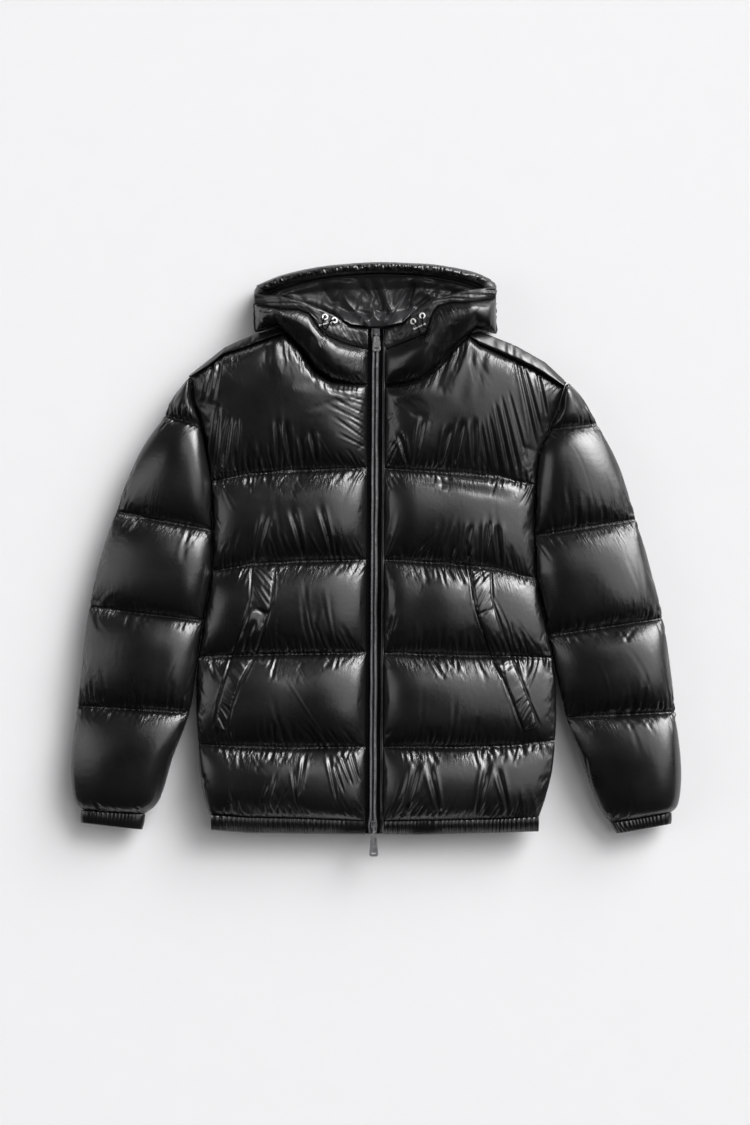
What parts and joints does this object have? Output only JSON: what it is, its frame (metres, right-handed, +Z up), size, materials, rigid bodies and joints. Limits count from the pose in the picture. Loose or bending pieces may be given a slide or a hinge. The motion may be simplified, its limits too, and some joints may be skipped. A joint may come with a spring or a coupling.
{
  "type": "hooded puffer jacket",
  "caption": "Hooded puffer jacket laid flat with its front up: quilted baffles, full front zip, slanting welt pockets, elastic cuffs and hem, and a drawcord at the hood.",
  "frame": {"origin": "on the surface that the jacket lies on, under the middle of its outline", "axes": "+X to the viewer's right, which is the wearer's left, +Y from the hem to the hood, +Z up from the surface, the way the front faces"},
  "size_m": [0.8572, 0.8316, 0.0817],
  "materials": {
    "shell": "black high-gloss nylon, quilted over padding",
    "lining": "black glossy lining, smooth",
    "tape": "black woven zip tape, matt",
    "gunmetal": "dark gunmetal plating, polished",
    "nickel": "nickel plating, polished",
    "cord": "black braided cord"
  },
  "bodies": {
    "jacket": {"back": "shell", "front_right": "shell", "front_left": "shell", "shoulder_right": "shell", "shoulder_left": "shell", "sleeve_right": "shell", "sleeve_left": "shell", "cuff_right": "shell", "cuff_left": "shell", "hem_right": "shell", "hem_left": "shell", "hem_back": "shell", "pocket_right": "shell", "pocket_left": "shell", "chin_right": "shell", "chin_left": "shell", "band_right": "shell", "band_left": "shell", "hood_shell": "shell", "hood_rim": "shell", "hood_lining": "lining", "hanger_loop": "lining", "zip_tape_right": "tape", "zip_tape_left": "tape", "zip_chain": "gunmetal", "slider_top": "gunmetal", "slider_bottom": "gunmetal", "eyelet_1": "nickel", "eyelet_2": "nickel", "eyelet_3": "nickel", "eyelet_4": "nickel", "toggle_right": "nickel", "toggle_left": "nickel", "cord_right": "cord", "cord_left": "cord"},
    "top_pull": {"pull_top": "gunmetal"},
    "bottom_pull": {"pull_bottom": "gunmetal"}
  },
  "joints": [
    {"name": "top_pull_hinge", "type": "hinge", "parent": "jacket", "child": "top_pull", "pos_m": [0.00057, 0.3165, 0.0485], "axis": [-1, 0, 0], "range_deg": [0, 165]},
    {"name": "bottom_pull_hinge", "type": "hinge", "parent": "jacket", "child": "bottom_pull", "pos_m": [-0.00353, -0.3735, 0.0485], "axis": [-1, 0, 0], "range_deg": [0, 165]}
  ]
}
